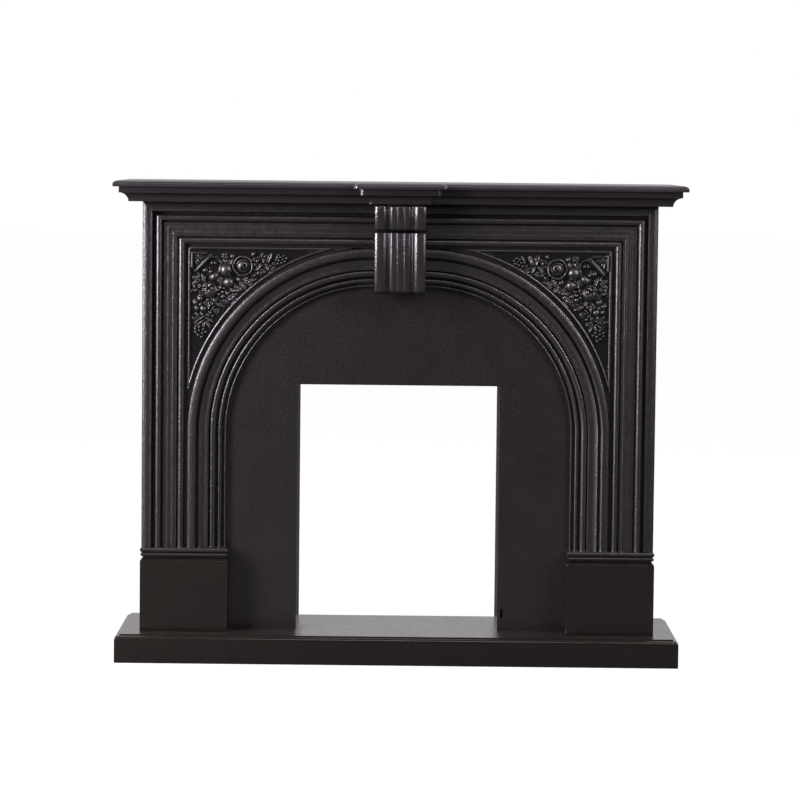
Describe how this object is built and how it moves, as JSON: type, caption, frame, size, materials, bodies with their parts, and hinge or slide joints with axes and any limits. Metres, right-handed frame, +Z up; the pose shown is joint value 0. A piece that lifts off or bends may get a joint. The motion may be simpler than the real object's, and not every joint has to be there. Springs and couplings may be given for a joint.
{
  "type": "fireplace mantel surround",
  "caption": "Black satin mantel surround on a boxed hearth, with an arch of receding mouldings, carved spandrels, a keystone corbel and an opening for an electric fire.",
  "frame": {"origin": "middle of the bounding box on the floor", "axes": "+X to the right along the front, +Y from the front to the wall, +Z up"},
  "size_m": [1.2, 0.318, 1.014],
  "materials": {
    "black_lacquer": "fibreboard sprayed with satin black lacquer",
    "black_cast_resin": "cast resin moulding with a fine pebbled skin under satin black paint",
    "raw_board": "raw fibreboard",
    "pine": "planed pine",
    "zinc_steel": "zinc plated"
  },
  "bodies": {
    "root": {"hearth_top": "black_lacquer", "hearth_front_rail": "black_lacquer", "hearth_left_rail": "black_lacquer", "hearth_right_rail": "black_lacquer", "hearth_back_rail": "raw_board", "hearth_battens": "pine", "infill_panel": "black_lacquer", "left_side_panel": "black_lacquer", "right_side_panel": "black_lacquer", "left_reveal": "black_lacquer", "right_reveal": "black_lacquer", "lintel_reveal": "black_lacquer", "left_jamb_backer": "black_lacquer", "right_jamb_backer": "black_lacquer", "header_backer": "black_lacquer", "left_jamb_moulding": "black_cast_resin", "right_jamb_moulding": "black_cast_resin", "left_header_moulding": "black_cast_resin", "right_header_moulding": "black_cast_resin", "left_arch_moulding": "black_cast_resin", "right_arch_moulding": "black_cast_resin", "left_spandrel_panel": "black_cast_resin", "right_spandrel_panel": "black_cast_resin", "left_spandrel_border": "black_cast_resin", "right_spandrel_border": "black_cast_resin", "left_carving": "black_cast_resin", "right_carving": "black_cast_resin", "corbel_core": "black_cast_resin", "upper_console": "black_cast_resin", "lower_console": "black_cast_resin", "left_plinth_block": "black_lacquer", "right_plinth_block": "black_lacquer", "left_plinth_cap": "black_cast_resin", "right_plinth_cap": "black_cast_resin", "shelf_top": "black_lacquer", "shelf_soffit_board": "black_lacquer", "front_bed_moulding": "black_lacquer", "break_front_bed_moulding": "black_lacquer", "left_bed_moulding": "black_lacquer", "right_bed_moulding": "black_lacquer", "top_back_rail": "raw_board", "foot_back_rails": "raw_board", "corner_battens": "pine", "lintel_batten": "pine", "jamb_battens": "pine", "shelf_cleats": "pine", "base_cleats": "pine", "wall_brackets": "zinc_steel", "bracket_screws": "zinc_steel", "dowels": "pine"}
  },
  "joints": []
}
